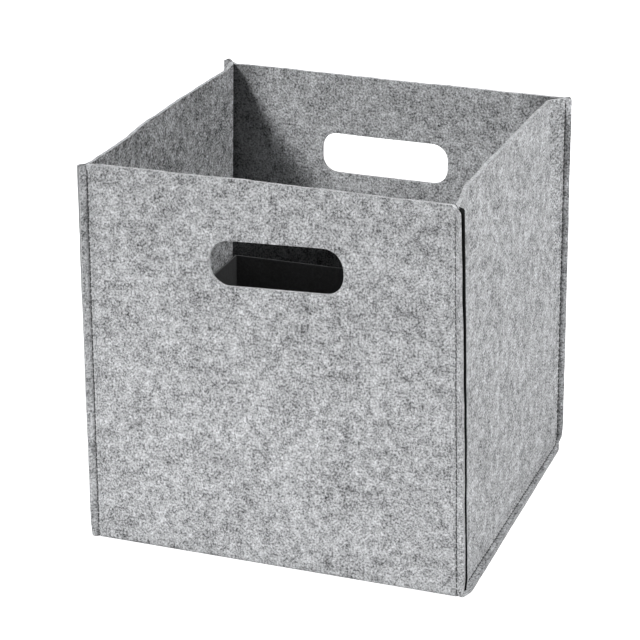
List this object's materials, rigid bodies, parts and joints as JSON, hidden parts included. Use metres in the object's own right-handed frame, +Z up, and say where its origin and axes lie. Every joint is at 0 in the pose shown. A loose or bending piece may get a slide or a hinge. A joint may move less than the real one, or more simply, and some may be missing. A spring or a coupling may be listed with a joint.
{
  "type": "fabric storage bin",
  "caption": "Open-topped felt storage cube with stadium-shaped hand holes front and back, pinched raw-edge seams and a lift-out stiffener tray.",
  "frame": {"origin": "centre of the underside, on the surface that the bin stands on", "axes": "+Z up, the front wall with its hand hole faces -Y, +X to the viewer's right"},
  "size_m": [0.3308, 0.3284, 0.33],
  "materials": {
    "strip_felt": "thick mottled wool-look felt, matt, slightly fuzzy",
    "panel_felt": "thick mottled wool-look felt, matt, slightly fuzzy",
    "seam_thread": "dark grey polyester sewing thread",
    "stiffener_board": "smooth mid-grey board, faint satin"
  },
  "bodies": {
    "bin": {"body_strip": "strip_felt", "left_panel": "panel_felt", "right_panel": "panel_felt", "left_needle_thread": "seam_thread", "left_bobbin_thread": "seam_thread", "right_needle_thread": "seam_thread", "right_bobbin_thread": "seam_thread"},
    "insert": {"stiffener_insert": "stiffener_board"}
  },
  "joints": [
    {"name": "insert_lift", "type": "slide", "parent": "bin", "child": "insert", "axis": [0, 0, 1], "range_m": [0, 0.36]}
  ]
}
